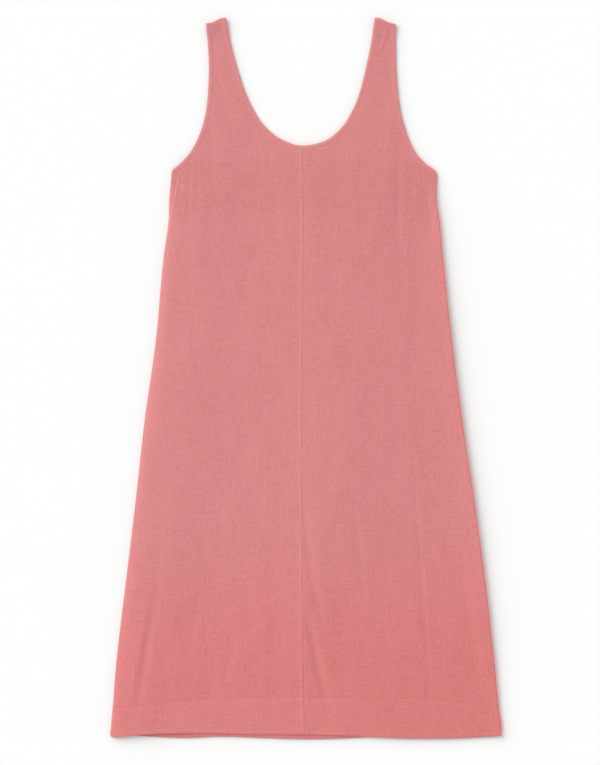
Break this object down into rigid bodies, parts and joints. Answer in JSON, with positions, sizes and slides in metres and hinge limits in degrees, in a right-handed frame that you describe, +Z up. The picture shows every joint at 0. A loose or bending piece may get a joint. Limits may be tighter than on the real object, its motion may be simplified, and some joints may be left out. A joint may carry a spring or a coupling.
{
  "type": "sheath dress",
  "caption": "Sleeveless scoop-necked sheath dress in slubby salmon cloth, with a centre front seam, bound neck and armholes and a turned-up hem, laid flat with its front up.",
  "frame": {"origin": "on the surface that the dress lies on, under the middle of its length and width", "axes": "+X across the dress to the right of a viewer who faces the front, +Y from the hem to the shoulders, +Z up out of the front"},
  "size_m": [0.653, 1.1984, 0.0066],
  "materials": {
    "cloth": "matte slubby plain weave",
    "binding": "matte, the same cloth folded into narrow strips"
  },
  "bodies": {
    "root": {"front_left": "cloth", "front_right": "cloth", "back": "cloth", "neck_binding": "binding", "armhole_binding_left": "binding", "armhole_binding_right": "binding"}
  },
  "joints": []
}
